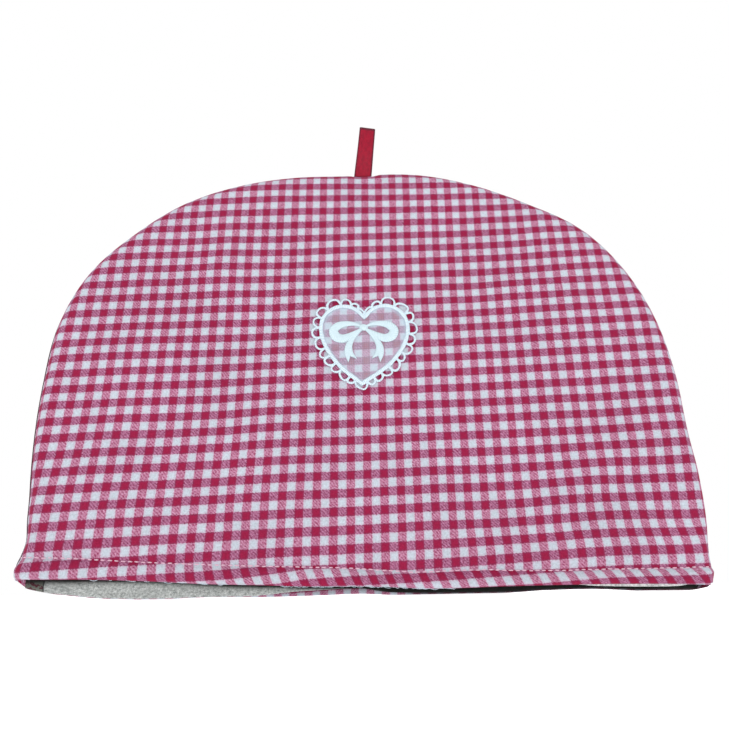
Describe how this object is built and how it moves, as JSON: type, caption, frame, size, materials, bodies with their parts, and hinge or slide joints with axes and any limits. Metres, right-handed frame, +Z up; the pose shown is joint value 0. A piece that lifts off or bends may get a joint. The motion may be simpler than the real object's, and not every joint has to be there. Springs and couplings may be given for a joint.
{
  "type": "tea cosy",
  "caption": "Arched padded gingham tea cosy with cotton lining, ribbon loop and lace heart with a bow.",
  "frame": {"origin": "middle of the footprint, on the surface that the hem stands on", "axes": "+Z up, the panel with the heart faces -Y, +X to the right of somebody looking at that panel"},
  "size_m": [0.3766, 0.0666, 0.3067],
  "materials": {
    "gingham": "matte woven cotton",
    "lining_cotton": "matte woven cotton",
    "ribbon": "satin weave",
    "organza": "sheer",
    "lace": "matte thread",
    "satin": "satin stitch"
  },
  "bodies": {
    "root": {"front_panel": "gingham", "back_panel": "gingham", "lining_front": "lining_cotton", "lining_back": "lining_cotton", "hanging_loop": "ribbon", "heart_patch": "organza", "lace_edge": "lace", "bow": "satin"}
  },
  "joints": []
}
